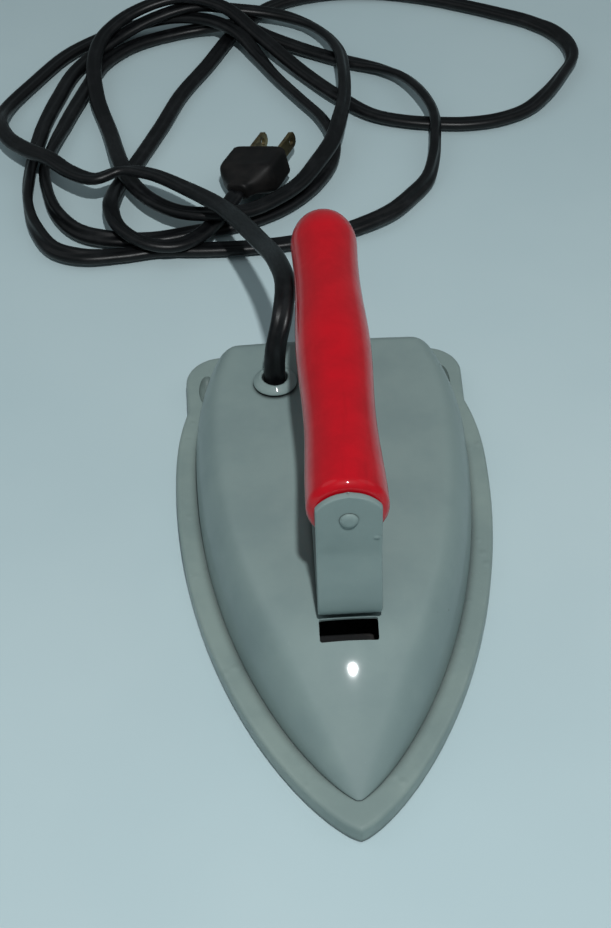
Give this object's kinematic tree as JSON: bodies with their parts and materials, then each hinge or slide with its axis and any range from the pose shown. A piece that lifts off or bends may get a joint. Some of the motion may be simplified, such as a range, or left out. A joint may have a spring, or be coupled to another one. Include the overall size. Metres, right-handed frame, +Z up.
{
  "type": "electric waxing iron",
  "caption": "Pointed electric waxing iron: cast sole with a wide lip, domed steel cover, strap-mounted turned wooden grip and a flat lead with a two-blade plug.",
  "frame": {"origin": "centre of the iron's own footprint on the surface it stands on, cord and plug left out", "axes": "+Z up, the nose points to -Y, +Y towards the heel and the cord, +X to the right seen from in front of the nose"},
  "size_m": [0.2454, 0.4418, 0.081],
  "materials": {
    "cover_enamel": "satin grey enamel on pressed steel, slightly orange-peeled",
    "sole_enamel": "same grey enamel, sprayed over a rough casting",
    "grip_lacquer": "glossy red lacquer on turned hardwood",
    "cord_rubber": "semi-gloss black two-core jacket",
    "plug_rubber": "semi-gloss black moulded rubber",
    "blade_brass": "dull rolled brass",
    "plated_steel": "dull zinc plate",
    "bare_steel": "mill-scale steel",
    "mica_sheet": "amber mica sheet",
    "element_ribbon": "oxidised resistance ribbon",
    "steatite": "unglazed ceramic",
    "glass_sleeve": "woven glass-fibre sleeve"
  },
  "bodies": {
    "root": {"bushing_nut": "plated_steel", "clamp_screw_left": "plated_steel", "clamp_screw_right": "plated_steel", "cord_bushing": "cover_enamel", "cord_clamp": "bare_steel", "cover_nut_front": "plated_steel", "cover_nut_rear": "plated_steel", "cover_shell": "cover_enamel", "cover_washer_front": "plated_steel", "cover_washer_rear": "plated_steel", "element_tab_left": "blade_brass", "element_tab_right": "blade_brass", "handle_grip": "grip_lacquer", "handle_screw": "cover_enamel", "handle_strap": "cover_enamel", "heating_ribbon": "element_ribbon", "inner_cord": "cord_rubber", "lead_left": "glass_sleeve", "lead_right": "glass_sleeve", "mica_lower": "mica_sheet", "mica_upper": "mica_sheet", "plate_nut_front": "plated_steel", "plate_nut_rear": "plated_steel", "plate_nut_short": "plated_steel", "plug_blade_left": "blade_brass", "plug_blade_right": "blade_brass", "plug_body": "plug_rubber", "pressure_plate": "bare_steel", "sole_casting": "sole_enamel", "stud_front": "plated_steel", "stud_rear": "plated_steel", "stud_short": "plated_steel", "supply_cord": "cord_rubber", "terminal_block": "steatite", "terminal_screw_left": "blade_brass", "terminal_screw_right": "blade_brass"}
  },
  "joints": []
}
